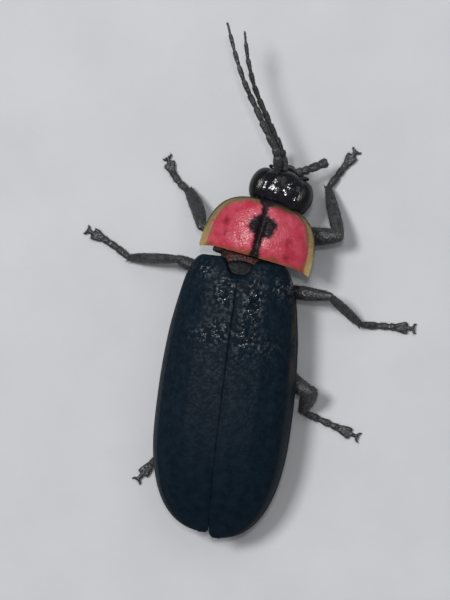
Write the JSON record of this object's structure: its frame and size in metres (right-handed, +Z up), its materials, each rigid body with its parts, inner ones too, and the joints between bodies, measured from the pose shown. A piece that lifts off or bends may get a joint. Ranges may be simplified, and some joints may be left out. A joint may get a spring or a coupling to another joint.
{
  "type": "firefly",
  "caption": "Still life-size firefly standing with folded black wing cases, a rose shield with a black cross, feelers held forward together and legs spread.",
  "frame": {"origin": "middle of the model's outline on the floor, under the belly", "axes": "+Y towards the head along the seam of the wing cases, +X to the animal's right, +Z up from the floor"},
  "size_m": [0.0168, 0.0246, 0.0043],
  "materials": {
    "wing_case": "near-black finely granular cuticle with a soft blue-grey sheen",
    "shield": "rose-red shining cuticle with a black cross and an olive-gold rim",
    "skull": "glossy black",
    "eye": "black facets, glossy",
    "limb": "dark grey finely haired cuticle",
    "underside": "black-brown finely haired cuticle",
    "light_organ": "waxy cream-white"
  },
  "bodies": {
    "root": {"head": "skull", "eye_left": "eye", "eye_right": "eye", "antenna_left": "limb", "antenna_right": "limb", "palp_left": "limb", "palp_right": "limb", "pronotum": "shield", "prothorax": "underside", "scutellum": "wing_case", "thorax": "underside", "elytron_left": "wing_case", "elytron_right": "wing_case", "abdomen": "underside", "light_organ": "light_organ", "abdomen_tip": "underside", "leg_front_left": "limb", "leg_front_right": "limb", "leg_middle_left": "limb", "leg_middle_right": "limb", "leg_hind_left": "limb", "leg_hind_right": "limb"}
  },
  "joints": []
}
